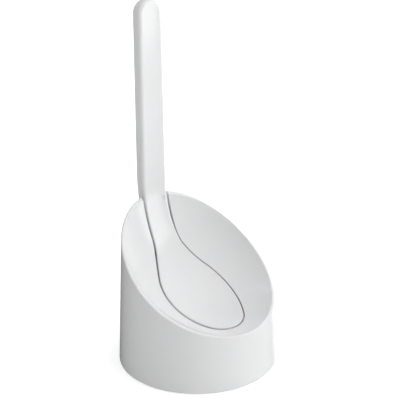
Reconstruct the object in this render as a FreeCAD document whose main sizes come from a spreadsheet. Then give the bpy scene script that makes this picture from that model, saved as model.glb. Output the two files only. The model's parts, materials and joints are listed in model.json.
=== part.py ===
"""Toilet brush holder with a spoon-shaped brush handle, as an assembly of separate pieces.

Millimetres.  +Z is up, -Y is the front (the low side of the rim), and the origin is the middle
of the circle that the holder stands on.  The holder is a tapered round casing whose top is a
slanted dish.  The handle is a spoon: its bowl lies in the dish as a lid, its stem stands up at
the back, and the brush head hangs under the bowl inside the casing.
"""
import FreeCAD, Part
import math
import os
import Sketcher

os.makedirs("parts", exist_ok=True)
doc = FreeCAD.newDocument("ToiletBrushHolder")

# --------------------------------------------------------------------------- driving sizes
SIZES = [
    # casing
    ("base_radius", 80.0), ("wall_taper", 0.045), ("wall_thickness", 2.6),
    ("casing_foot", 1.0), ("casing_blank_height", 172.0),
    ("foot_round", 1.0), ("crest_round", 1.3),
    # sweep of the rim, seen from the side: an arc through two points beyond the wall
    ("rim_reach", 95.0), ("rim_front_height", 46.4), ("rim_back_height", 178.3),
    ("rim_sweep_radius", 686.0),
    # dish: an arc turned about a level axis in front of the middle and above the rim
    ("dish_forward", 51.0), ("dish_axis_height", 174.0), ("trough_radius", 121.0),
    ("dish_arc_radius", 100.0), ("dish_half_width", 78.0), ("dish_wall", 2.6),
    # outline of the spoon's bowl in plan, on the middle of the gap round it
    ("bowl_half_width", 36.2), ("bowl_widest_forward", 3.0), ("bowl_length_forward", 53.5),
    ("tip_radius", 28.0), ("shoulder_radius", 58.0), ("shoulder_turn", 29.0),
    ("throat_radius", 24.0), ("stem_half_width", 15.2), ("half_gap", 0.8),
    # layers of the bowl and of the seat under it, measured from the dish surface
    ("bowl_proud", 1.5), ("bowl_underside", 4.6), ("seat_depth", 4.9), ("seat_underside", 7.2),
    ("seat_width", 2.6), ("seat_wall", 2.4), ("opening_back", 63.0),
    # stem
    ("stem_depth", 11.5), ("stem_top", 352.0), ("stem_top_half_width", 13.4),
    ("spine_radius", 135.0), ("spine_start", 177.0), ("spine_turn", 62.0),
    ("spine_clearance", 1.0),
    ("stem_edge_round", 3.0), ("bowl_edge_round", 1.2), ("back_edge_round", 1.5),
    # cover let into the back of the stem, and the hollow behind it
    ("cover_bottom", 196.0), ("cover_half_width", 9.4), ("cover_thickness", 2.0),
    ("cover_gap", 0.15), ("cover_ledge", 1.4), ("stem_front_wall", 2.6),
    ("recess_overcut", 1.0),
    # neck boss under the bowl and the thread in it
    ("head_forward", 5.0), ("boss_bottom", 45.0), ("boss_radius", 12.0), ("boss_top_radius", 15.0),
    ("boss_top", 74.0),
    ("insert_radius", 8.0), ("insert_height", 10.0), ("thread_radius", 5.0), ("thread_gap", 0.05),
    ("low_screw_height", 214.0), ("high_screw_height", 330.0), ("post_radius", 3.0),
    ("screw_radius", 1.2), ("screw_head_radius", 2.4), ("screw_head_depth", 1.3),
    ("lid_sink", 0.1), ("slot_width", 0.5), ("slot_depth", 0.7), ("round_start", 125.0),
    # brush head
    ("washer_thickness", 1.0), ("washer_radius", 10.0), ("seat_gap", 0.05),
    ("core_radius", 11.0), ("core_top", 43.9), ("dome_centre", 33.0), ("stud_bottom", 30.0),
    ("brush_radius", 31.0), ("tuft_root", 11.1), ("tuft_half_thickness", 1.6), ("row_pitch", 3.9),
    ("brush_bottom", 15.0), ("tip_tuft_radius", 3.6), ("dome_row_step", 30.0),
    # base
    ("base_plate_bottom", 1.2), ("base_plate_top", 4.2), ("base_plate_radius", 76.4),
    ("ring_wall", 2.4), ("ring_top", 11.0), ("rest_gap", 0.3),
    ("cup_ring_radius", 36.8), ("cup_ring_top", 9.0), ("foot_radius", 7.1), ("foot_depth", 1.3),
    ("foot_circle", 60.0), ("cup_bottom_radius", 36.0), ("cup_top_radius", 39.0), ("cup_top", 44.0),
    ("cup_wall", 2.0), ("cup_lip", 1.6), ("cup_corner", 2.0), ("cup_ring_wall", 2.0),
    ("foot_edge", 0.6), ("foot_clearance", 0.2),
    # ribs inside the casing, which rest just above the base ring
    ("rib_thickness", 2.0), ("rib_height", 20.0), ("rib_depth", 5.0), ("rib_top_depth", 1.0),
    ("rib_lean", 1.0),
    # small allowances: fits, chamfers, and how far a cutter runs past the face it cuts
    ("chamfer", 1.0), ("fit", 0.02), ("bore_spare", 0.1), ("overcut", 1.0), ("screw_margin", 0.5),
    ("post_root", 0.5), ("bore_root", 0.4), ("tip_gap", 0.05), ("under_rim_extra", 0.4),
    ("pocket_reach", 20.0), ("stem_front_spare", 3.0), ("stem_top_spare", 5.0),
    ("stem_inner_height", 124.0),
]
FOOT_COUNT = 4
RIB_COUNT = 6
sheet = doc.addObject("Spreadsheet::Sheet", "Sizes")
for row, (alias, number) in enumerate(SIZES, start=1):
    sheet.set("A%d" % row, alias)
    sheet.set("B%d" % row, repr(number))
    sheet.setAlias("B%d" % row, alias)
doc.recompute()


class Size:
    """A length together with the sheet formula that gives it."""

    def __init__(self, value, formula):
        self.value = value
        self.formula = formula

    def _join(self, other, sign, value):
        other_formula = other.formula if isinstance(other, Size) else repr(other)
        return Size(value, "(%s %s %s)" % (self.formula, sign, other_formula))

    def __add__(self, other):
        return self._join(other, "+", self.value + number_of(other))

    def __sub__(self, other):
        return self._join(other, "-", self.value - number_of(other))

    def __mul__(self, other):
        return self._join(other, "*", self.value * number_of(other))

    def __truediv__(self, other):
        return self._join(other, "/", self.value / number_of(other))

    def __neg__(self):
        return Size(-self.value, "(-1 * %s)" % self.formula)


def number_of(length):
    return length.value if isinstance(length, Size) else float(length)


def sine(degrees):
    return Size(math.sin(math.radians(degrees.value)), "sin(%s * 1deg)" % degrees.formula)


def cosine(degrees):
    return Size(math.cos(math.radians(degrees.value)), "cos(%s * 1deg)" % degrees.formula)


V = {alias: Size(number, "Sizes.%s" % alias) for alias, number in SIZES}
NOTHING = Size(0.0, "0")
# the front of the stem carries straight on from the top of the bowl
STEM_FRONT = V["trough_radius"] - V["bowl_proud"] - V["dish_forward"]


# --------------------------------------------------------------------------- building blocks
def plane_of(body, role):
    return next(item for item in body.Origin.OriginFeatures if item.Role == role)


def new_sketch(body, name, role, offset=None):
    sketch = body.newObject("Sketcher::SketchObject", name)
    sketch.AttachmentSupport = [(plane_of(body, role), "")]
    sketch.MapMode = "FlatFace"
    if offset is not None:
        sketch.AttachmentOffset = FreeCAD.Placement(FreeCAD.Vector(*offset), FreeCAD.Rotation())
    return sketch


def pin(sketch, geometry, end, along, size):
    """Holds one coordinate of a vertex at a size from the sheet."""
    if not isinstance(size, Size) and size == 0.0:
        axis = -2 if along == "X" else -1
        sketch.addConstraint(Sketcher.Constraint("PointOnObject", geometry, end, axis))
        return
    index = sketch.addConstraint(
        Sketcher.Constraint("Distance" + along, -1, 1, geometry, end, number_of(size)))
    if isinstance(size, Size):
        sketch.setExpression("Constraints[%d]" % index, size.formula)


def draw(sketch, outline):
    """Draws a closed outline.  Each step is (x, y) for a straight run or (x, y, radius) for an arc
    up to that vertex: a positive radius turns left, a negative one turns right."""
    up = FreeCAD.Vector(0, 0, 1)
    ends = []
    for number, step in enumerate(outline):
        before = outline[number - 1]
        start = FreeCAD.Vector(number_of(before[0]), number_of(before[1]), 0)
        finish = FreeCAD.Vector(number_of(step[0]), number_of(step[1]), 0)
        if len(step) == 2:
            ends.append((sketch.addGeometry(Part.LineSegment(start, finish), False), 1, 2))
            continue
        radius = number_of(step[2])
        chord = finish - start
        left = FreeCAD.Vector(-chord.y, chord.x, 0).normalize() * math.copysign(1.0, radius)
        centre = (start + finish) * 0.5 + left * math.sqrt(radius ** 2 - (chord.Length / 2) ** 2)
        first, last = (start, finish) if radius > 0 else (finish, start)
        angles = [math.atan2(point.y - centre.y, point.x - centre.x) for point in (first, last)]
        if angles[1] < angles[0]:
            angles[1] += 2 * math.pi
        arc = Part.ArcOfCircle(Part.Circle(centre, up, abs(radius)), angles[0], angles[1])
        geometry = sketch.addGeometry(arc, False)
        ends.append((geometry, 1, 2) if radius > 0 else (geometry, 2, 1))
        index = sketch.addConstraint(Sketcher.Constraint("Radius", geometry, abs(radius)))
        if isinstance(step[2], Size):
            formula = step[2].formula if radius > 0 else (-step[2]).formula
            sketch.setExpression("Constraints[%d]" % index, formula)
    for number, (geometry, _, last_end) in enumerate(ends):
        following = ends[(number + 1) % len(ends)]
        sketch.addConstraint(
            Sketcher.Constraint("Coincident", geometry, last_end, following[0], following[1]))
        pin(sketch, geometry, last_end, "X", outline[number][0])
        pin(sketch, geometry, last_end, "Y", outline[number][1])


def new_body(name):
    return doc.addObject("PartDesign::Body", name)


def revolution(body, name, outline, axis="V_Axis", role="XZ_Plane", offset=None, angle=360.0):
    sketch = new_sketch(body, name + "_sketch", role, offset)
    draw(sketch, outline)
    feature = body.newObject("PartDesign::Revolution", name)
    feature.Profile = sketch
    feature.ReferenceAxis = (sketch, [axis])
    feature.Angle = angle
    body.Tip = feature
    return feature


def pad(body, name, outline, role, length, start=0.0, both_ways=False):
    """Pads an outline by a length, from start along the plane's normal."""
    sketch = new_sketch(body, name + "_sketch", role)
    if isinstance(start, Size):
        sketch.setExpression("AttachmentOffset.Base.z", start.formula)
    elif start:
        sketch.AttachmentOffset = FreeCAD.Placement(FreeCAD.Vector(0, 0, start), FreeCAD.Rotation())
    draw(sketch, outline)
    feature = body.newObject("PartDesign::Pad", name)
    feature.Profile = sketch
    feature.Length = number_of(length)
    if isinstance(length, Size):
        feature.setExpression("Length", length.formula)
    if both_ways:
        feature.SideType = "Symmetric"
    body.Tip = feature
    return feature


def combine(kind, name, base, tool):
    result = doc.addObject("Part::" + kind, name)
    result.Base = base
    result.Tool = tool
    return result


def dish_body(name, growth):
    """The solid whose lower side is the dish surface, grown outwards by growth."""
    body = new_body(name)
    half = V["dish_half_width"]
    arc_radius = V["dish_arc_radius"] + growth
    drop = V["trough_radius"] + growth - arc_radius
    end_radius = Size(
        math.sqrt(arc_radius.value ** 2 - half.value ** 2),
        "sqrt(%s ^ 2 - %s ^ 2)" % (arc_radius.formula, half.formula)) + drop
    outline = [(-half, 0.0), (-half, -end_radius), (half, -end_radius, arc_radius), (half, 0.0)]
    place = (0.0, V["dish_axis_height"].value, V["dish_forward"].value)
    feature = revolution(body, name + "_turn", outline, axis="H_Axis", offset=place)
    sketch = feature.Profile[0]
    sketch.setExpression("AttachmentOffset.Base.y", V["dish_axis_height"].formula)
    sketch.setExpression("AttachmentOffset.Base.z", V["dish_forward"].formula)
    return body


def bowl_outline(growth, back):
    """Plan outline of the spoon, from the middle of its gap grown by growth, out to y = back."""
    wide = V["bowl_half_width"] + growth
    widest = -V["bowl_widest_forward"]
    long = V["bowl_length_forward"] + growth
    tip = V["tip_radius"] + growth
    # the flank arc is centred on the widest line and meets the tip arc without a corner
    flank_value = (wide.value ** 2 + (long.value - tip.value) ** 2 - tip.value ** 2) / (
        2 * (wide.value - tip.value))
    flank = Size(flank_value, "((%s ^ 2 + (%s - %s) ^ 2 - %s ^ 2) / (2 * (%s - %s)))" % (
        wide.formula, long.formula, tip.formula, tip.formula, wide.formula, tip.formula))
    reach = flank - tip
    meet_x = (flank - wide) / reach * tip
    meet_y = widest - (long - tip) - (long - tip) / reach * tip
    turn = V["shoulder_turn"]
    shoulder = V["shoulder_radius"] + growth
    throat = V["throat_radius"] - growth
    stem = V["stem_half_width"] + growth
    shoulder_x = wide - shoulder * (-cosine(turn) + 1.0)
    shoulder_y = widest + shoulder * sine(turn)
    throat_x = stem + throat * (-cosine(turn) + 1.0)
    run = (shoulder_x - throat_x) / sine(turn)
    throat_y = shoulder_y + run * cosine(turn)
    stem_y = throat_y + throat * sine(turn)
    right = [
        (meet_x, meet_y, tip), (wide, widest, flank), (shoulder_x, shoulder_y, shoulder),
        (throat_x, throat_y), (stem, stem_y, -throat), (stem, back)]
    left = [
        (-stem, back), (-stem, stem_y), (-throat_x, throat_y, -throat),
        (-shoulder_x, shoulder_y), (-wide, widest, shoulder), (-meet_x, meet_y, flank)]
    return right + left


NODES = {}


def finish_node(item, name):
    item.Label = name
    NODES[name] = item


def placed(x, y, z):
    return FreeCAD.Placement(FreeCAD.Vector(x, y, z), FreeCAD.Rotation())


# --------------------------------------------------------------------------- shared cutters
def radius_at(height):
    return V["base_radius"] - V["wall_taper"] * height


def cone_body(name, inset, bottom, top):
    body = new_body(name)
    outline = [
        (0.0, bottom), (radius_at(bottom) - inset, bottom), (radius_at(top) - inset, top), (0.0, top)]
    revolution(body, name + "_turn", outline)
    return body


def rim_block(name, drop):
    """Everything above the slanted rim, lowered by drop."""
    body = new_body(name)
    reach = V["rim_reach"]
    top = V["stem_top"]
    outline = [
        (-reach, V["rim_front_height"] - drop),
        (reach, V["rim_back_height"] - drop, V["rim_sweep_radius"]), (reach, top), (-reach, top)]
    pad(body, name + "_pad", outline, "YZ_Plane", reach * 2.0, both_ways=True)
    return body


def spoon_prism(name, growth, back):
    body = new_body(name)
    pad(body, name + "_pad", bowl_outline(growth, back), "XY_Plane", V["dish_axis_height"])
    return body


def stem_profile(name, growth, half_width):
    """The stem and the thick spine of its bend, seen from the side, grown backwards by growth."""
    body = new_body(name)
    back = STEM_FRONT + V["stem_depth"] + growth
    radius = V["spine_radius"] + growth
    centre = STEM_FRONT + V["stem_depth"] - V["spine_radius"]
    end_back = centre + radius * cosine(V["spine_turn"])
    end_height = V["spine_start"] - radius * sine(V["spine_turn"])
    front = STEM_FRONT - V["stem_front_spare"]
    top = V["stem_top"] + V["stem_top_spare"]
    level = V["dish_axis_height"]
    outline = [
        (front, top), (front, level), (0.0, level), (0.0, V["stem_inner_height"]),
        (end_back, end_height), (back, V["spine_start"], radius), (back, top)]
    pad(body, name + "_pad", outline, "YZ_Plane", half_width * 2.0, both_ways=True)
    return body


stem_back = STEM_FRONT + V["stem_depth"]
dish = dish_body("dish", 0.0)
dish_top_of_bowl = dish_body("bowl_top", -V["bowl_proud"])
dish_bowl_underside = dish_body("bowl_underside_surface", V["bowl_underside"])
dish_seat = dish_body("seat_surface", V["seat_depth"])
dish_seat_underside = dish_body("seat_underside_surface", V["seat_underside"])
dish_inner = dish_body("dish_inner", V["dish_wall"])
above_rim = rim_block("above_rim", 0.0)
pocket_back = stem_back + V["pocket_reach"]

# --------------------------------------------------------------------------- outer shell
blank = cone_body("shell_blank", 0.0, V["casing_foot"], V["casing_blank_height"])
hollow = cone_body("shell_hollow", V["wall_thickness"], 0.0, V["casing_blank_height"])
slanted = combine("Cut", "slanted_blank", blank, above_rim)
dished = combine("Cut", "dished_blank", slanted, dish)
inner_rim = rim_block("inner_rim", V["wall_thickness"] + V["under_rim_extra"])
hollow_low = combine("Cut", "hollow_below_rim", hollow, inner_rim)
cavity = combine("Cut", "shell_cavity", hollow_low, dish_inner)
walls = combine("Cut", "shell_walls", dished, cavity)
collar_growth = V["half_gap"] + V["seat_wall"]
collar_prism = spoon_prism("collar_prism", collar_growth, pocket_back)
collar_layer = combine("Common", "collar_layer", collar_prism, dish_seat_underside)
collar = combine("Common", "collar", collar_layer, dished)
with_collar = combine("Fuse", "shell_with_collar", walls, collar)
pocket_prism = spoon_prism("pocket_prism", V["half_gap"], pocket_back)
pocket = combine("Common", "pocket", pocket_prism, dish_seat)
opening = spoon_prism("opening_prism", -V["seat_width"], V["opening_back"])
spine_slot = stem_profile("spine_slot", V["spine_clearance"], V["stem_half_width"] + V["half_gap"])
seated = combine("Cut", "seated_shell", with_collar, pocket)
opened = combine("Cut", "opened_shell", seated, opening)
slotted = combine("Cut", "slotted_shell", opened, spine_slot)

rib_body = new_body("shell_rib")
rib_outer = radius_at(V["base_plate_top"]) - V["wall_thickness"] * 0.5
rib_foot = V["ring_top"] + V["rest_gap"]
rib_head = V["ring_top"] + V["rib_height"]
rib_outline = [
    (rib_outer - V["rib_depth"], rib_foot), (rib_outer, rib_foot),
    (rib_outer - V["rib_lean"], rib_head), (rib_outer - V["rib_lean"] - V["rib_top_depth"], rib_head)]
pad(rib_body, "shell_rib_pad", rib_outline, "XZ_Plane", V["rib_thickness"], both_ways=True)
doc.recompute()
ribs = doc.addObject("Part::Feature", "shell_ribs")
ribs.Shape = Part.makeCompound([
    rib_body.Shape.rotated(FreeCAD.Vector(), FreeCAD.Vector(0, 0, 1), 360.0 * (number + 0.5) / RIB_COUNT)
    for number in range(RIB_COUNT)])
ribbed = combine("Fuse", "ribbed_shell", slotted, ribs)
doc.recompute()


NEAR = 0.02
SHARP_DEGREES = 30.0


def on_surface(edge, test, samples=5):
    """True when every sampled point of the edge passes the test."""
    first, last = edge.ParameterRange
    points = [edge.valueAt(first + (last - first) * (k + 0.5) / samples) for k in range(samples)]
    return all(test(point) for point in points)


def on_wall(point):
    radius = V["base_radius"].value - V["wall_taper"].value * point.z
    return abs(math.hypot(point.x, point.y) - radius) < NEAR


def on_rim(point):
    reach, sweep = V["rim_reach"].value, V["rim_sweep_radius"].value
    start = FreeCAD.Vector(-reach, V["rim_front_height"].value, 0)
    finish = FreeCAD.Vector(reach, V["rim_back_height"].value, 0)
    chord = finish - start
    left = FreeCAD.Vector(-chord.y, chord.x, 0).normalize()
    centre = (start + finish) * 0.5 + left * math.sqrt(sweep ** 2 - (chord.Length / 2) ** 2)
    return abs(math.hypot(point.y - centre.x, point.z - centre.y) - sweep) < NEAR


def is_sharp(shape, edge):
    """True when the two faces at the edge meet at a corner."""
    first, last = edge.ParameterRange
    point = edge.valueAt((first + last) / 2)
    normals = []
    for face in shape.ancestorsOfType(edge, Part.Face):
        normals.append(face.normalAt(*face.Surface.parameter(point)))
    return len(normals) == 2 and normals[0].getAngle(normals[1]) > math.radians(SHARP_DEGREES)


def rounded(name, base, radius_of):
    """Rounds the edges for which radius_of gives a radius, or a pair for a changing one."""
    chosen = []
    for number, edge in enumerate(base.Shape.Edges, start=1):
        radii = radius_of(edge)
        if radii:
            chosen.append((number, radii[0], radii[1]))
    fillet = doc.addObject("Part::Fillet", name)
    fillet.Base = base
    fillet.Edges = chosen
    doc.recompute()
    return fillet


def shell_radius(edge):
    if on_surface(edge, lambda point: on_wall(point) and on_rim(point)):
        return (V["crest_round"].value, V["crest_round"].value)
    if on_surface(edge, lambda point: on_wall(point) and point.z < V["casing_foot"].value + NEAR):
        return (V["foot_round"].value, V["foot_round"].value)
    return None


outer_shell = rounded("outer_shell_rounded", ribbed, shell_radius)
finish_node(outer_shell, "outer_shell")

# --------------------------------------------------------------------------- spoon handle
bowl_prism = spoon_prism("bowl_prism", -V["half_gap"], stem_back)
bowl_block = combine("Common", "bowl_block", bowl_prism, dish_bowl_underside)
stem_half = V["stem_half_width"] - V["half_gap"]
stem_side = stem_profile("stem_side", 0.0, stem_half)
arch = V["stem_top_half_width"]
stem_face = new_body("stem_face")
stem_outline = [
    (-stem_half, V["boss_bottom"]), (stem_half, V["boss_bottom"]),
    (stem_half, V["dish_axis_height"]),
    (arch, V["stem_top"] - arch), (0.0, V["stem_top"], arch), (-arch, V["stem_top"] - arch, arch),
    (-stem_half, V["dish_axis_height"])]
pad(stem_face, "stem_face_pad", stem_outline, "XZ_Plane", pocket_back * 2.0, both_ways=True)
stem_block = combine("Common", "stem_block", stem_side, stem_face)


def on_spoon_back(point):
    start = V["spine_start"].value
    if point.z > start - NEAR:
        return abs(point.y - stem_back.value) < NEAR
    radius = V["spine_radius"].value
    return abs(math.hypot(point.y - stem_back.value + radius, point.z - start) - radius) < NEAR


def back_radius(edge):
    if on_surface(edge, on_spoon_back) and is_sharp(stem_block.Shape, edge):
        return (V["back_edge_round"].value, V["back_edge_round"].value)
    return None


doc.recompute()
stem_rounded = rounded("stem_back_rounded", stem_block, back_radius)
boss = new_body("neck_boss")
boss_outline = [
    (0.0, V["boss_bottom"]), (V["boss_radius"], V["boss_bottom"]),
    (V["boss_top_radius"], V["boss_top"]), (0.0, V["boss_top"])]
revolution(boss, "neck_boss_turn", boss_outline)
HEAD_PLACE = placed(0, -V["head_forward"].value, 0)
boss.Placement = HEAD_PLACE
spoon_and_stem = combine("Fuse", "spoon_and_stem", bowl_block, stem_rounded)
spoon_rough = combine("Fuse", "spoon_rough", spoon_and_stem, boss)
spoon_dished = combine("Cut", "spoon_dished", spoon_rough, dish_top_of_bowl)
stem_hollow_radius = V["dish_arc_radius"] - V["bowl_proud"]
scoop = doc.addObject("Part::Cylinder", "scoop")
scoop.setExpression("Radius", stem_hollow_radius.formula)
scoop.setExpression("Height", "Sizes.stem_top")
scoop.Placement = placed(
    0, (STEM_FRONT - stem_hollow_radius).value, V["dish_axis_height"].value)
spoon = combine("Cut", "spoon", spoon_dished, scoop)
doc.recompute()


def on_spoon_front(point):
    level, hollow = V["dish_axis_height"].value, stem_hollow_radius.value
    if point.z > level:
        return abs(math.hypot(point.x, point.y - STEM_FRONT.value + hollow) - hollow) < NEAR
    trough = (V["trough_radius"] - V["dish_arc_radius"]).value + math.sqrt(hollow ** 2 - point.x ** 2)
    return abs(math.hypot(point.y + V["dish_forward"].value, point.z - level) - trough) < NEAR


def front_radius(edge):
    """The bowl's edge is crisp; the rounding grows over the bend and is widest on the stem."""
    if not (on_surface(edge, on_spoon_front) and is_sharp(spoon.Shape, edge)):
        return None
    crisp, wide = V["bowl_edge_round"].value, V["stem_edge_round"].value
    level, low = V["dish_axis_height"].value, V["round_start"].value
    return tuple(
        crisp + (wide - crisp) * min(1.0, max(0.0, (vertex.Point.z - low) / (level - low)))
        for vertex in (edge.Vertexes[0], edge.Vertexes[-1]))


front_rounded = rounded("spoon_front_rounded", spoon, front_radius)


def lid_outline(half_width, bottom):
    """Round-topped outline on the back of the stem, in line with the round top of the stem."""
    level = V["stem_top"] - V["stem_top_half_width"]
    return [
        (-half_width, bottom), (half_width, bottom), (half_width, level),
        (0.0, level + half_width, half_width), (-half_width, level, half_width)]


def back_block(name, outline, shallow, deep):
    """A block between two depths, both measured forwards from the back of the stem."""
    body = new_body(name)
    pad(body, name + "_pad", outline, "XZ_Plane", deep - shallow, start=shallow - stem_back)
    return body


def bar(name, radius, start, finish, height):
    """A round bar along Y, from y = start to y = finish."""
    body = new_body(name)
    outline = [
        (0.0, -radius, radius), (radius, 0.0, radius), (0.0, radius, radius),
        (-radius, 0.0, radius)]
    pad(body, name + "_pad", outline, "XZ_Plane", finish - start, start=-finish)
    body.Placement = placed(0, 0, height.value)
    return body


ledge = V["cover_half_width"] - V["cover_ledge"]
recess_outline = lid_outline(
    V["cover_half_width"] + V["cover_gap"], V["cover_bottom"] - V["cover_gap"])
recess = back_block("cover_recess", recess_outline, -V["recess_overcut"], V["cover_thickness"])
stem_hollow = back_block(
    "stem_hollow", lid_outline(ledge, V["cover_bottom"] + V["cover_ledge"]),
    V["cover_thickness"] * 0.5, V["stem_depth"] - V["stem_front_wall"])
SCREW_HEIGHTS = (V["low_screw_height"], V["high_screw_height"])
lid_seat = stem_back - V["cover_thickness"]
hollow_end = STEM_FRONT + V["stem_front_wall"]
insert_bore = new_body("insert_bore")
insert_bore_radius = V["insert_radius"] + V["fit"]
insert_bore_top = V["boss_bottom"] + V["insert_height"] + V["bore_spare"]
insert_bore_outline = [
    (0.0, V["boss_bottom"] - V["overcut"]), (insert_bore_radius, V["boss_bottom"] - V["overcut"]),
    (insert_bore_radius, insert_bore_top), (0.0, insert_bore_top)]
revolution(insert_bore, "insert_bore_turn", insert_bore_outline)
insert_bore.Placement = HEAD_PLACE

handle = combine("Cut", "handle_recessed", front_rounded, recess)
handle = combine("Cut", "handle_hollowed", handle, stem_hollow)
for number, height in enumerate(SCREW_HEIGHTS, start=1):
    post = bar(
        "screw_post_%d" % number, V["post_radius"], hollow_end - V["post_root"], lid_seat, height)
    handle = combine("Fuse", "handle_post_%d" % number, handle, post)
for number, height in enumerate(SCREW_HEIGHTS, start=1):
    post_bore = bar(
        "post_bore_%d" % number, V["screw_radius"] + V["thread_gap"], hollow_end + V["bore_root"],
        lid_seat + V["overcut"], height)
    handle = combine("Cut", "handle_post_bored_%d" % number, handle, post_bore)
handle = combine("Cut", "handle_bored", handle, insert_bore)
finish_node(handle, "handle_body")

# --------------------------------------------------------------------------- cover and its screws
cover = back_block(
    "cover_blank", lid_outline(V["cover_half_width"], V["cover_bottom"]),
    V["lid_sink"], V["cover_thickness"])
lid_face = stem_back - V["lid_sink"]


def countersunk(name, growth, above, height):
    """The form of a countersunk screw, grown all round by growth and run on above its head."""
    head_radius = V["screw_head_radius"] + growth
    shank = V["screw_radius"] + growth
    tail = hollow_end + V["overcut"]
    outline = [
        (0.0, tail), (shank, tail), (shank, lid_face - V["screw_head_depth"]),
        (head_radius, lid_face), (head_radius, lid_face + above), (0.0, lid_face + above)]
    body = new_body(name)
    revolution(body, name + "_turn", outline, role="XY_Plane")
    body.Placement = placed(0, 0, height.value)
    return body


cross = V["screw_head_radius"] * 1.2
crossed_screws = []
for number, height in enumerate(SCREW_HEIGHTS, start=1):
    hole = countersunk("cover_hole_%d" % number, V["cover_gap"], V["screw_margin"], height)
    cover = combine("Cut", "cover_with_hole_%d" % number, cover, hole)
    screw = countersunk("screw_%d" % number, NOTHING, V["fit"], height)
    for turn, (across, along) in enumerate(((cross, V["slot_width"]), (V["slot_width"], cross))):
        half_across, half_along = across * 0.5, along * 0.5
        slot_outline = [
            (-half_across, -half_along), (half_across, -half_along),
            (half_across, half_along), (-half_across, half_along)]
        slot = back_block(
            "screw_slot_%d_%d" % (number, turn), slot_outline,
            -V["lid_sink"], V["lid_sink"] + V["slot_depth"])
        slot.Placement = placed(0, 0, height.value)
        screw = combine("Cut", "slotted_screw_%d_%d" % (number, turn), screw, slot)
    crossed_screws.append(screw)
finish_node(cover, "handle_back_cover")
doc.recompute()
cover_screws = doc.addObject("Part::Compound", "cover_screws")
cover_screws.Links = crossed_screws
finish_node(cover_screws, "cover_screws")


# --------------------------------------------------------------------------- neck thread and brush head
def turned_piece(name, outline, place=None):
    """A piece turned about the brush axis, or about the middle when no place is given."""
    body = new_body(name)
    revolution(body, name + "_turn", outline)
    body.Placement = place if place is not None else FreeCAD.Placement()
    return body


def ring_outline(inner, outer, bottom, top):
    return [(inner, bottom), (outer, bottom), (outer, top), (inner, top)]


chamfer = V["chamfer"]
bore = V["thread_radius"] + V["thread_gap"]
neck_face = V["boss_bottom"]
finish_node(turned_piece(
    "threaded_insert_body",
    ring_outline(bore, V["insert_radius"], neck_face, neck_face + V["insert_height"]), HEAD_PLACE),
    "threaded_insert")
washer_top = neck_face - V["seat_gap"]
finish_node(turned_piece(
    "seal_washer_body",
    ring_outline(V["thread_radius"] + V["seat_gap"] * 2.0, V["washer_radius"],
                 washer_top - V["washer_thickness"], washer_top), HEAD_PLACE), "seal_washer")
stud_top = neck_face + V["insert_height"] - V["screw_margin"]
finish_node(turned_piece(
    "threaded_stud_body",
    [(0.0, V["stud_bottom"]), (V["thread_radius"] - chamfer, V["stud_bottom"]),
     (V["thread_radius"], V["stud_bottom"] + chamfer), (V["thread_radius"], stud_top - chamfer),
     (V["thread_radius"] - chamfer, stud_top), (0.0, stud_top)], HEAD_PLACE), "threaded_stud")
core = V["core_radius"]
dome = V["dome_centre"]
core_bore = V["thread_radius"] + V["fit"]
core_floor = V["stud_bottom"] - V["fit"]
finish_node(turned_piece(
    "brush_core_body",
    [(0.0, dome - core), (core, dome, core), (core, V["core_top"]), (core_bore, V["core_top"]),
     (core_bore, core_floor), (0.0, core_floor)], HEAD_PLACE), "brush_core")

# the rows of bristles: three level rows on the barrel and two that follow the dome
brush_depth = dome - V["brush_bottom"]
half = V["tuft_half_thickness"]
rows = [(V["row_pitch"] * 2.0, 0.0), (V["row_pitch"], 0.0), (NOTHING, 0.0),
        (NOTHING, 1.0), (NOTHING, 2.0)]
for number, (above_dome, steps) in enumerate(rows, start=1):
    slope = V["dome_row_step"] * steps
    flat, steep = cosine(slope), sine(slope)
    # how far the row reaches before it meets the egg-shaped outside of the brush
    length = Size(
        1.0 / math.hypot(flat.value / V["brush_radius"].value, steep.value / brush_depth.value),
        "(1 / sqrt((%s / %s) ^ 2 + (%s / %s) ^ 2))" % (
            flat.formula, V["brush_radius"].formula, steep.formula, brush_depth.formula))
    middle = dome + above_dome
    root = V["tuft_root"]
    corners = ((root, -1.0), (length, -1.0), (length, 1.0), (root, 1.0))
    outline = [
        (reach * flat + steep * half * side, middle - reach * steep + flat * half * side)
        for reach, side in corners]
    finish_node(turned_piece("tuft_row_%d_body" % number, outline, HEAD_PLACE), "tuft_row_%d" % number)
tip_top = dome - core - V["tip_gap"]
finish_node(turned_piece(
    "tuft_tip_body",
    [(0.0, V["brush_bottom"]), (V["tip_tuft_radius"], V["brush_bottom"]),
     (V["tip_tuft_radius"], tip_top), (0.0, tip_top)], HEAD_PLACE), "tuft_tip")

# --------------------------------------------------------------------------- base with feet and cup
floor, deck = V["base_plate_bottom"], V["base_plate_top"]
rim_outer = V["base_plate_radius"]
rim_inner = rim_outer - V["ring_wall"]
tray = turned_piece("base_tray", [
    (0.0, floor), (rim_outer - chamfer, floor), (rim_outer, floor + chamfer),
    (rim_outer, V["ring_top"]),
    (rim_inner, V["ring_top"]), (rim_inner, deck), (0.0, deck)])
cup_ring_outer = V["cup_ring_radius"] + V["cup_ring_wall"]
cup_ring_outline = ring_outline(
    V["cup_ring_radius"], cup_ring_outer, deck - V["overcut"], V["cup_ring_top"])
cup_ring = turned_piece("cup_ring", cup_ring_outline, HEAD_PLACE)
base = combine("Fuse", "base_with_cup_ring", tray, cup_ring)
foot_seat = floor + V["foot_depth"]
foot_pocket_radius = V["foot_radius"] + V["foot_clearance"]
pocket_outline = [
    (0.0, floor - V["overcut"]), (foot_pocket_radius, floor - V["overcut"]),
    (foot_pocket_radius, foot_seat), (0.0, foot_seat)]
foot_outline = [
    (0.0, 0.0), (V["foot_radius"] - V["foot_edge"], 0.0),
    (V["foot_radius"], V["foot_depth"] * 0.5), (V["foot_radius"], foot_seat), (0.0, foot_seat)]
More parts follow.
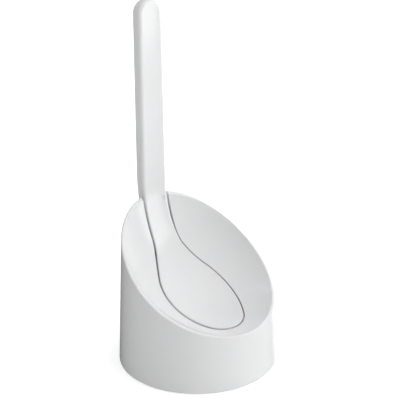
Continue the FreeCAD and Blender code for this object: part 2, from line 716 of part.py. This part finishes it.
for number in range(1, FOOT_COUNT + 1):
    angle = math.radians(360.0 * (number - 0.5) / FOOT_COUNT)
    reach = V["foot_circle"].value
    place = placed(reach * math.cos(angle), reach * math.sin(angle), 0)
    foot_pocket = turned_piece("foot_pocket_%d" % number, pocket_outline, place)
    base = combine("Cut", "base_foot_pocket_%d" % number, base, foot_pocket)
    finish_node(turned_piece("foot_%d_body" % number, foot_outline, place), "foot_%d" % number)
finish_node(base, "base_plate")

cup_foot = deck + V["seat_gap"]
outer_low, outer_high, wall = V["cup_bottom_radius"], V["cup_top_radius"], V["cup_wall"]
lip = V["cup_lip"]
finish_node(turned_piece("drip_cup_body", [
    (0.0, cup_foot), (outer_low - chamfer, cup_foot), (outer_low, cup_foot + chamfer),
    (outer_high, V["cup_top"] - lip), (outer_high + lip, V["cup_top"] - lip),
    (outer_high + lip, V["cup_top"]), (outer_high - wall, V["cup_top"]),
    (outer_low - wall, cup_foot + wall + V["cup_corner"]),
    (outer_low - wall - V["cup_corner"], cup_foot + wall),
    (0.0, cup_foot + wall)], HEAD_PLACE), "drip_cup")

# --------------------------------------------------------------------------- checks and files
doc.recompute()
for item in doc.Objects:
    if {"Invalid", "Error"} & set(item.State):
        raise RuntimeError("%s did not compute: %s" % (item.Label, item.State))
for name, item in sorted(NODES.items()):
    if item.Shape.isNull() or not item.Shape.isValid() or not item.Shape.Solids:
        raise RuntimeError("%s has no valid solid" % name)
    item.Shape.exportStep("parts/%s.step" % name)
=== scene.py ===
"""Looks for the toilet brush holder: glossy white plastic, a bristle brush head and a studio."""
import json
import math
import random

import bpy
from mathutils import Matrix, Vector


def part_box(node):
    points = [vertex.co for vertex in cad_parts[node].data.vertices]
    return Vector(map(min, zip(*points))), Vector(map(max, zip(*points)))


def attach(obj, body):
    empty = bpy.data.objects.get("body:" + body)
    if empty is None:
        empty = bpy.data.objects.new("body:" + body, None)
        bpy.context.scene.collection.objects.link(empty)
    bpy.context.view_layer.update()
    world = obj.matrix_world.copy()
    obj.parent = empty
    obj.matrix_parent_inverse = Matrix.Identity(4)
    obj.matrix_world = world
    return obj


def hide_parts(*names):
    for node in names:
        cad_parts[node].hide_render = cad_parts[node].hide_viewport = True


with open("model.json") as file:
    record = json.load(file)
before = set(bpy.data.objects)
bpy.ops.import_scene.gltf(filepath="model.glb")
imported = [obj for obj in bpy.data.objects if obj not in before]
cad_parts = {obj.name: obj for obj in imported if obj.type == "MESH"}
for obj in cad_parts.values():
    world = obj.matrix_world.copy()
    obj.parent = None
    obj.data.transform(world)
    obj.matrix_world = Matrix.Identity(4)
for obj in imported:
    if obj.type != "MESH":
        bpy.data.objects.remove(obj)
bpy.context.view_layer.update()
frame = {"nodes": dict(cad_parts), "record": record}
RECORD = frame["record"]
NODES = frame["nodes"]
MM = 0.001

# the brush head unscrews about this upright line
JOINTS = RECORD["behaviour"]["joints"]
HEAD_AXIS = Vector(next(joint["pos_m"] for joint in JOINTS if joint["type"] == "hinge"))


# --------------------------------------------------------------------------- materials
def new_material(name):
    material = bpy.data.materials.new(name)
    material.use_nodes = True
    nodes, links = material.node_tree.nodes, material.node_tree.links
    return material, nodes, links, nodes["Principled BSDF"]


def noise(nodes, links, scale, detail=3.0, stretch=(1.0, 1.0, 1.0)):
    """Noise in object space, so that it stays on the piece; returns its 0..1 output."""
    place = nodes.new("ShaderNodeTexCoord")
    mapping = nodes.new("ShaderNodeMapping")
    mapping.inputs["Scale"].default_value = stretch
    texture = nodes.new("ShaderNodeTexNoise")
    texture.inputs["Scale"].default_value = scale
    texture.inputs["Detail"].default_value = detail
    links.new(place.outputs["Object"], mapping.inputs["Vector"])
    links.new(mapping.outputs["Vector"], texture.inputs["Vector"])
    return texture.outputs["Fac"]


def ramp(nodes, links, source, low, high, start=0.35, end=0.65):
    """Maps a 0..1 value to a run between two numbers or two colours."""
    node = nodes.new("ShaderNodeValToRGB")
    for element, place, value in zip(node.color_ramp.elements, (start, end), (low, high)):
        element.position = place
        element.color = (value, value, value, 1.0) if isinstance(value, float) else (*value, 1.0)
    links.new(source, node.inputs["Fac"])
    return node.outputs["Color"]


def blend(nodes, links, source, low_at, high_at, low, high):
    """Runs smoothly from low to high while source goes from low_at to high_at."""
    node = nodes.new("ShaderNodeMapRange")
    node.interpolation_type = "SMOOTHSTEP"
    node.inputs["From Min"].default_value = low_at
    node.inputs["From Max"].default_value = high_at
    node.inputs["To Min"].default_value = low
    node.inputs["To Max"].default_value = high
    links.new(source, node.inputs["Value"])
    return node.outputs["Result"]


def vary(nodes, links, socket, source, low, high, start=0.35, end=0.65):
    """Lets a socket vary over the surface between low and high."""
    links.new(ramp(nodes, links, source, low, high, start, end), socket)


def bump(nodes, links, shader, height, strength, distance):
    node = nodes.new("ShaderNodeBump")
    node.inputs["Strength"].default_value = strength
    node.inputs["Distance"].default_value = distance
    links.new(height, node.inputs["Height"])
    links.new(node.outputs["Normal"], shader.inputs["Normal"])


def moulded_plastic(name, tint, gloss, coat=0.0, texture=0.02, grain=900.0):
    """Injection-moulded plastic: faint flow clouds in the colour, handling haze in the gloss and a
    very shallow skin texture."""
    material, nodes, links, shader = new_material(name)
    darker = tuple(channel * 0.965 for channel in tint)
    clouds = noise(nodes, links, 14.0, 2.0)
    vary(nodes, links, shader.inputs["Base Color"], clouds, darker, tint, 0.2, 0.8)
    haze = noise(nodes, links, 30.0, 2.0)
    vary(nodes, links, shader.inputs["Roughness"], haze, gloss * 0.92, gloss * 1.1, 0.2, 0.8)
    shader.inputs["IOR"].default_value = 1.53
    shader.inputs["Coat Weight"].default_value = coat
    shader.inputs["Coat Roughness"].default_value = 0.06
    shader.inputs["Subsurface Weight"].default_value = 0.06
    shader.inputs["Subsurface Scale"].default_value = 0.003
    bump(nodes, links, shader, noise(nodes, links, grain, 2.0), texture, 0.0002)
    return material


def brushed_metal(name, tint, gloss):
    """Metal with fine level bands: rings on the upright stud and insert, and straight lines across
    the heads of the screws, which lie on their sides."""
    material, nodes, links, shader = new_material(name)
    darker = tuple(channel * 0.8 for channel in tint)
    bands = noise(nodes, links, 60.0, 6.0, (0.3, 0.3, 60.0))
    vary(nodes, links, shader.inputs["Base Color"], bands, darker, tint, 0.3, 0.7)
    vary(nodes, links, shader.inputs["Roughness"], bands, gloss, gloss * 1.6)
    shader.inputs["Metallic"].default_value = 1.0
    bump(nodes, links, shader, bands, 0.25, 0.0001)
    return material


def moulded_rubber(name, tint):
    material, nodes, links, shader = new_material(name)
    darker = tuple(channel * 0.7 for channel in tint)
    dust = noise(nodes, links, 120.0, 6.0)
    vary(nodes, links, shader.inputs["Base Color"], dust, darker, tint)
    wear = noise(nodes, links, 300.0, 3.0)
    vary(nodes, links, shader.inputs["Roughness"], wear, 0.62, 0.82)
    bump(nodes, links, shader, noise(nodes, links, 1400.0, 2.0), 0.3, 0.0002)
    return material


def nylon(name, tint):
    """Drawn nylon bristle: streaky and slightly see-through."""
    material, nodes, links, shader = new_material(name)
    darker = tuple(channel * 0.88 for channel in tint)
    streaks = noise(nodes, links, 500.0, 3.0)
    vary(nodes, links, shader.inputs["Base Color"], streaks, darker, tint)
    sheen = noise(nodes, links, 900.0, 2.0)
    vary(nodes, links, shader.inputs["Roughness"], sheen, 0.3, 0.42)
    shader.inputs["Transmission Weight"].default_value = 0.15
    return material


WHITE = (0.74, 0.745, 0.75)
MATERIALS = {
    "shell_plastic": moulded_plastic("casing_gloss", WHITE, 0.16, coat=0.4),
    "handle_plastic": moulded_plastic("handle_gloss", WHITE, 0.14, coat=0.4),
    "cover_plastic": moulded_plastic("cover_satin", WHITE, 0.26, texture=0.05),
    "core_plastic": moulded_plastic("core_satin", (0.78, 0.785, 0.79), 0.34, texture=0.06),
    "base_plastic": moulded_plastic("base_satin", (0.79, 0.795, 0.80), 0.38, texture=0.10, grain=700.0),
    "cup_plastic": moulded_plastic("cup_gloss", (0.80, 0.81, 0.82), 0.22),
    "screw_steel": brushed_metal("screw_steel_turned", (0.62, 0.62, 0.63), 0.24),
    "stud_steel": brushed_metal("stud_steel_rolled", (0.60, 0.61, 0.62), 0.26),
    "insert_brass": brushed_metal("insert_brass_turned", (0.72, 0.54, 0.24), 0.24),
    "washer_rubber": moulded_rubber("washer_black_rubber", (0.035, 0.035, 0.038)),
    "foot_rubber": moulded_rubber("foot_grey_rubber", (0.22, 0.225, 0.23)),
    "bristle_nylon": nylon("bristle_white_nylon", (0.95, 0.955, 0.96)),
}


def dress_frame():
    """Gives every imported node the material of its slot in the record."""
    for subpart in RECORD["subparts"]:
        node = NODES[subpart["node"]]
        node.data.materials.clear()
        node.data.materials.append(MATERIALS[subpart["material_slot"]])


# --------------------------------------------------------------------------- bristles
BRISTLE_RADIUS = 0.19 * MM
TUFT_RADIUS = 1.25 * MM
BRISTLES_IN_TUFT = 26
TIP_SHARE = 0.7
ROOT_SPREAD = 0.75
ROW_SPREAD = 1.35
STRAY = 0.25 * MM
SHORTEST_BRISTLE = 0.955
# these four repeat the layout of the tuft rows in the part itself
LEVEL_ROWS = 3
ROW_COUNT = 5
DOME_STEP = math.radians(30.0)
ROW_HALF_THICKNESS = 1.6 * MM
# how the tufts are set, and the seeds of their random bristles
TUFT_SPACING = 2.9 * MM
ROOT_DEPTH = 0.4 * MM
END_ROOM = 0.2 * MM
TIP_END_ROOM = 0.1 * MM
TIP_CIRCLE = 2.2 * MM
TIP_TUFTS = 5
ROW_SEED = 40
TIP_SEED = 50


def add_bristle(points, faces, root, tip, bend):
    """One three-sided bristle from root to tip, bowed by bend at its middle."""
    along = (tip - root).normalized()
    side = along.orthogonal().normalized()
    start = len(points)
    for share, size in ((0.0, 1.0), (0.5, 1.0), (1.0, TIP_SHARE)):
        centre = root.lerp(tip, share) + bend * (4.0 * share * (1.0 - share))
        for corner in range(3):
            turn = Matrix.Rotation(2.0 * math.pi * corner / 3.0, 3, along)
            points.append(centre + turn @ side * BRISTLE_RADIUS * size)
    for ring in range(2):
        for corner in range(3):
            low = start + ring * 3 + corner
            low_next = start + ring * 3 + (corner + 1) % 3
            faces.append((low, low_next, low_next + 3, low + 3))
    faces.append((start + 2, start + 1, start))
    faces.append((start + 6, start + 7, start + 8))


def add_tuft(points, faces, root, along, length, rng, spread):
    """A round bundle of bristles that fans out a little towards its tips."""
    across = along.orthogonal().normalized()
    other = along.cross(across)
    for _ in range(BRISTLES_IN_TUFT):
        angle = rng.uniform(0.0, 2.0 * math.pi)
        distance = math.sqrt(rng.random()) * TUFT_RADIUS
        offset = (across * math.cos(angle) + other * math.sin(angle)) * distance
        start = root + offset * ROOT_SPREAD
        finish = root + along * (length * rng.uniform(SHORTEST_BRISTLE, 1.0)) + offset * spread
        finish += across * rng.gauss(0.0, STRAY) + other * rng.gauss(0.0, STRAY)
        bend = (across * rng.gauss(0.0, 1.0) + other * rng.gauss(0.0, 1.0)) * STRAY
        add_bristle(points, faces, start, finish, bend)


def bristle_piece(name, node, tufts, seed, spread):
    """A mesh of tufts, each given as (root, direction, length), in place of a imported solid."""
    rng = random.Random(seed)
    points, faces = [], []
    for root, along, length in tufts:
        add_tuft(points, faces, root, along, length, rng, spread)
    mesh = bpy.data.meshes.new(name)
    mesh.from_pydata([tuple(point) for point in points], [], faces)
    mesh.update()
    piece = bpy.data.objects.new(name, mesh)
    bpy.context.collection.objects.link(piece)
    mesh.materials.append(MATERIALS["bristle_nylon"])
    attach(piece, "brush_head")
    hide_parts(node)
    return piece


def bristles():
    """Five rings of tufts and the tip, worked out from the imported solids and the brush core."""
    core_low, core_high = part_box("brush_core")
    core_radius = (core_high[0] - core_low[0]) / 2.0
    dome = Vector((HEAD_AXIS.x, HEAD_AXIS.y, core_low[2] + core_radius))
    for row in range(1, ROW_COUNT + 1):
        node = "tuft_row_%d" % row
        low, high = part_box(node)
        level = row <= LEVEL_ROWS
        slope = 0.0 if level else DOME_STEP * (row - LEVEL_ROWS)
        reach = (high[0] - low[0]) / 2.0
        if level:
            origin = Vector((dome.x, dome.y, (low[2] + high[2]) / 2.0))
            length = reach
        else:
            origin = dome
            length = (reach - ROW_HALF_THICKNESS * math.sin(slope)) / math.cos(slope)
        root_distance = core_radius - ROOT_DEPTH
        count = round(2.0 * math.pi * root_distance * math.cos(slope) / TUFT_SPACING)
        tufts = []
        for number in range(count):
            angle = 2.0 * math.pi * (number + 0.5 * (row % 2)) / count
            along = Vector((
                math.cos(angle) * math.cos(slope), math.sin(angle) * math.cos(slope), -math.sin(slope)))
            root = origin + along * root_distance
            tufts.append((root, along, length - root_distance - END_ROOM))
        bristle_piece("bristle_row_%d" % row, node, tufts, ROW_SEED + row, ROW_SPREAD)
    low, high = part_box("tuft_tip")
    down = Vector((0.0, 0.0, -1.0))
    top = Vector((dome.x, dome.y, high[2]))
    length = high[2] - low[2] - TIP_END_ROOM
    tufts = [(top, down, length)]
    for number in range(TIP_TUFTS):
        angle = 2.0 * math.pi * number / TIP_TUFTS
        side = Vector((math.cos(angle), math.sin(angle), 0.0))
        tufts.append((top + side * TIP_CIRCLE, down, length))
    bristle_piece("bristle_tip", "tuft_tip", tufts, TIP_SEED, 1.0)


# --------------------------------------------------------------------------- studio
FLOOR_RADIUS = 9.0
FLOOR_SIDES = 96
SWEEP_HEIGHT = 7.0


def studio_floor():
    """A wide pale floor that glows a little, as an overlit paper sweep does."""
    material, nodes, links, shader = new_material("paper_floor")
    links.new(ramp(nodes, links, noise(nodes, links, 3.0, 2.0), 0.88, 0.90), shader.inputs["Base Color"])
    shader.inputs["Roughness"].default_value = 0.9
    shader.inputs["Specular IOR Level"].default_value = 0.1
    shader.inputs["Emission Color"].default_value = (1.0, 1.0, 1.0, 1.0)
    place = nodes.new("ShaderNodeTexCoord")
    reach = nodes.new("ShaderNodeVectorMath")
    reach.operation = "LENGTH"
    links.new(place.outputs["Object"], reach.inputs[0])
    # the glow is weaker near the holder: a painted shade on the floor around it, which also sends less
    # light onto the holder's walls
    glow = blend(
        nodes, links, reach.outputs["Value"], low_at=0.15, high_at=1.4, low=0.42, high=0.70)
    links.new(glow, shader.inputs["Emission Strength"])
    rings = [[
        (FLOOR_RADIUS * math.cos(2 * math.pi * k / FLOOR_SIDES),
         FLOOR_RADIUS * math.sin(2 * math.pi * k / FLOOR_SIDES), height)
        for k in range(FLOOR_SIDES)] for height in (0.0, SWEEP_HEIGHT)]
    around = [(k, (k + 1) % FLOOR_SIDES) for k in range(FLOOR_SIDES)]
    sweep = [(k, following, following + FLOOR_SIDES, k + FLOOR_SIDES) for k, following in around]
    floor = stage_piece("paper_floor", rings[0], [tuple(range(FLOOR_SIDES))], material)
    # glossy pieces do not mirror the floor
    floor.visible_glossy = False
    # the upright sweep is only a backdrop: it neither lights the holder nor shades it
    backdrop = stage_piece("paper_sweep", rings[0] + rings[1], sweep, material)
    backdrop.visible_glossy = False
    backdrop.visible_diffuse = False
    backdrop.visible_shadow = False


def stage_piece(name, points, faces, material):
    mesh = bpy.data.meshes.new(name)
    mesh.from_pydata(points, [], faces)
    mesh.materials.append(material)
    piece = bpy.data.objects.new(name, mesh)
    bpy.context.collection.objects.link(piece)
    return piece


def aimed(obj, place, target):
    """Puts a light or camera at place, looking at target with its top upwards."""
    obj.location = place
    obj.rotation_euler = (Vector(target) - Vector(place)).to_track_quat("-Z", "Y").to_euler()
    bpy.context.collection.objects.link(obj)


def softbox(name, place, target, width, height, watts, mirrored=True):
    """An area light; when it is not mirrored, glossy pieces show no highlight of it."""
    light = bpy.data.lights.new(name, "AREA")
    light.shape = "RECTANGLE"
    light.size = width
    light.size_y = height
    light.energy = watts
    lamp = bpy.data.objects.new(name, light)
    lamp.visible_glossy = mirrored
    aimed(lamp, place, target)


def facing(nodes, links, direction):
    """How much a direction of the surroundings lies towards the given one, from -1 to 1."""
    place = nodes.new("ShaderNodeTexCoord")
    node = nodes.new("ShaderNodeVectorMath")
    node.operation = "DOT_PRODUCT"
    node.inputs[1].default_value = Vector(direction).normalized()
    links.new(place.outputs["Generated"], node.inputs[0])
    return node.outputs["Value"]


def joined(nodes, links, operation, one, other):
    node = nodes.new("ShaderNodeMath")
    node.operation = operation
    links.new(one, node.inputs[0])
    links.new(other, node.inputs[1])
    return node.outputs["Value"]


def studio_world(bright_side, strip_side, dim, bright, strip):
    """Plain surroundings, dim on one side and bright on the other, with a low bright strip."""
    world = bpy.data.worlds.new("studio")
    bpy.context.scene.world = world
    world.use_nodes = True
    nodes, links = world.node_tree.nodes, world.node_tree.links
    towards_bright = facing(nodes, links, bright_side)
    towards_strip = facing(nodes, links, strip_side)
    upwards = facing(nodes, links, (0.0, 0.0, 1.0))
    room = blend(nodes, links, towards_bright, low_at=-0.7, high_at=0.9, low=dim, high=bright)
    sideways = blend(nodes, links, towards_strip, low_at=0.80, high_at=0.95, low=0.0, high=strip)
    low_down = blend(nodes, links, upwards, low_at=0.10, high_at=0.27, low=1.0, high=0.0)
    glow = joined(nodes, links, "MULTIPLY", sideways, low_down)
    background = nodes["Background"]
    links.new(joined(nodes, links, "ADD", room, glow), background.inputs["Color"])
    background.inputs["Strength"].default_value = 1.0


# the camera: where it stands, the way it looks and its lens on a 36 mm wide sensor
CAMERA_PLACE = Vector((-0.5618, -0.7117, 0.5002))
CAMERA_LOOK = Vector((0.5845, 0.7349, -0.3440))
CAMERA_ROLL = math.radians(0.44)
CAMERA_LENS = 90.0


def studio_camera():
    data = bpy.data.cameras.new("camera")
    data.lens = CAMERA_LENS
    data.sensor_width = 36.0
    data.clip_end = 50.0
    camera = bpy.data.objects.new("camera", data)
    aimed(camera, CAMERA_PLACE, CAMERA_PLACE + CAMERA_LOOK)
    camera.rotation_euler.rotate_axis("Z", -CAMERA_ROLL)
    bpy.context.scene.camera = camera


def studio_lights():
    ahead = Vector((CAMERA_LOOK.x, CAMERA_LOOK.y, 0.0)).normalized()
    right = Vector((ahead.y, -ahead.x, 0.0))
    up = Vector((0.0, 0.0, 1.0))
    middle = Vector((0.0, 0.0, 0.12))
    softbox(
        "key_right", middle + right * 1.53 - ahead * 0.15 + up * 0.35, middle,
        width=0.9, height=1.0, watts=4.5)
    softbox(
        "top", middle - ahead * 0.2 + up * 1.6 + right * 0.2, middle,
        width=2.0, height=2.0, watts=23.0, mirrored=False)
    softbox(
        "rim_right", middle + ahead * 1.73 + right * 1.0 + up * 0.30, middle,
        width=1.6, height=0.25, watts=9.0)
    studio_world(
        bright_side=right * 0.9 + ahead * 0.1 + up * 0.3, strip_side=ahead * 0.95 + right * 0.31,
        dim=0.08, bright=0.6, strip=1.2)


dress_frame()
bristles()
studio_floor()
studio_camera()
studio_lights()
bpy.context.scene.view_settings.view_transform = "Standard"
